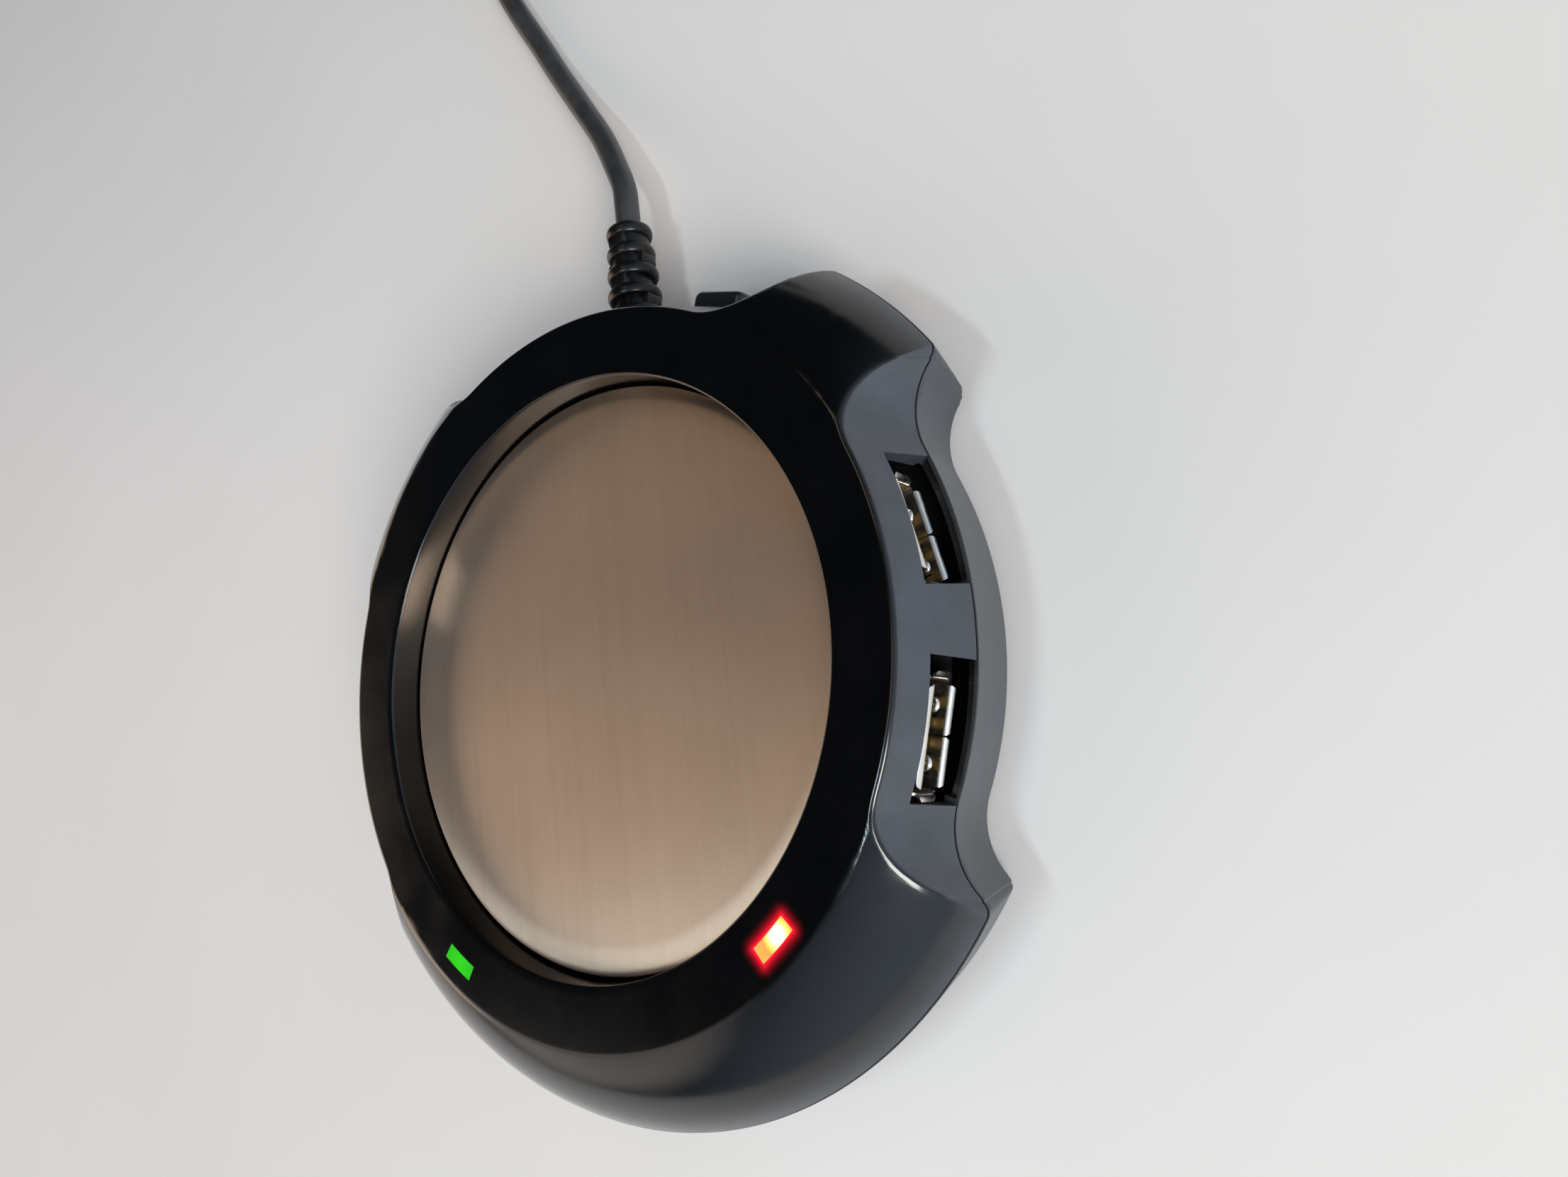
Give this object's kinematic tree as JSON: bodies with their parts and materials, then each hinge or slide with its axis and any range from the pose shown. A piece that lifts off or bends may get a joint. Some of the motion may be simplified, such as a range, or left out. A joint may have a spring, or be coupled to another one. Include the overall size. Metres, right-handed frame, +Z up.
{
  "type": "usb hub",
  "caption": "Round desktop USB hub with a brushed steel cup-warming plate sunk in its top, side ports in curved cut-ins, indicator windows, a rear push switch and a cord.",
  "frame": {"origin": "centre of the hub's outline on the table, under its feet", "axes": "+Z up through the warming plate, +Y towards the cord, +X towards the right-hand ports"},
  "size_m": [0.1022, 0.2462, 0.025],
  "materials": {
    "gloss_black": "glossy injection moulded housing",
    "satin_black": "slightly softer gloss than the upper housing",
    "gloss_black_cap": "small glossy push cap",
    "brushed_plate": "brushed front to back",
    "polyimide": "amber film heater",
    "pad_fibre": "pressed fibre",
    "zinc_steel": "zinc plated",
    "wire_red": "wire insulation",
    "board_black": "black solder mask",
    "chip_black": "moulded package",
    "capacitor_sleeve": "shrink sleeve",
    "window_red": "lit light pipe",
    "window_green": "lit light pipe",
    "lamp_red": "lamp package",
    "lamp_green": "lamp package",
    "switch_plastic": "moulded",
    "matte_black": "soft moulded sleeve",
    "connector_white": "nylon",
    "foot_rubber": "die cut foot",
    "cord_jacket": "smooth matt jacket",
    "tie_black": "nylon strap",
    "plug_black": "overmoulded grip",
    "plug_metal": "nickel plated",
    "socket_metal": "nickel plated sheet",
    "socket_insulator": "moulded insulator",
    "contact_gold": "gold plated"
  },
  "bodies": {
    "housing": {"upper_shell": "gloss_black", "lower_shell": "satin_black", "warming_plate": "brushed_plate", "heater_element": "polyimide", "insulating_pad": "pad_fibre", "heater_retainer": "zinc_steel", "retainer_screws": "zinc_steel", "thermal_cutout": "zinc_steel", "heater_leads": "wire_red", "main_board": "board_black", "board_screws": "zinc_steel", "usb_shell_right_rear": "socket_metal", "usb_shell_right_front": "socket_metal", "usb_shell_left_rear": "socket_metal", "usb_shell_left_front": "socket_metal", "usb_tongue_right_rear": "socket_insulator", "usb_tongue_right_front": "socket_insulator", "usb_tongue_left_rear": "socket_insulator", "usb_tongue_left_front": "socket_insulator", "usb_contacts_right_rear": "contact_gold", "usb_contacts_right_front": "contact_gold", "usb_contacts_left_rear": "contact_gold", "usb_contacts_left_front": "contact_gold", "hub_controller": "chip_black", "crystal": "zinc_steel", "capacitors": "capacitor_sleeve", "led_window_right": "window_red", "led_window_left": "window_green", "led_red": "lamp_red", "led_green": "lamp_green", "switch_body": "switch_plastic", "strain_relief": "matte_black", "cord_inner": "cord_jacket", "cord_connector": "connector_white", "cord_clamp": "switch_plastic", "clamp_screws": "zinc_steel", "case_screws": "zinc_steel", "rubber_feet": "foot_rubber", "cord": "cord_jacket", "cord_coil": "cord_jacket", "cord_tie": "tie_black", "plug_body": "plug_black", "plug_shell": "plug_metal"},
    "button": {"power_button": "gloss_black_cap"}
  },
  "joints": [
    {"name": "button_press", "type": "slide", "parent": "housing", "child": "button", "axis": [-0.3551, -0.9348, 0], "range_m": [0, 0.0015], "stiffness_N_per_m": 400}
  ]
}
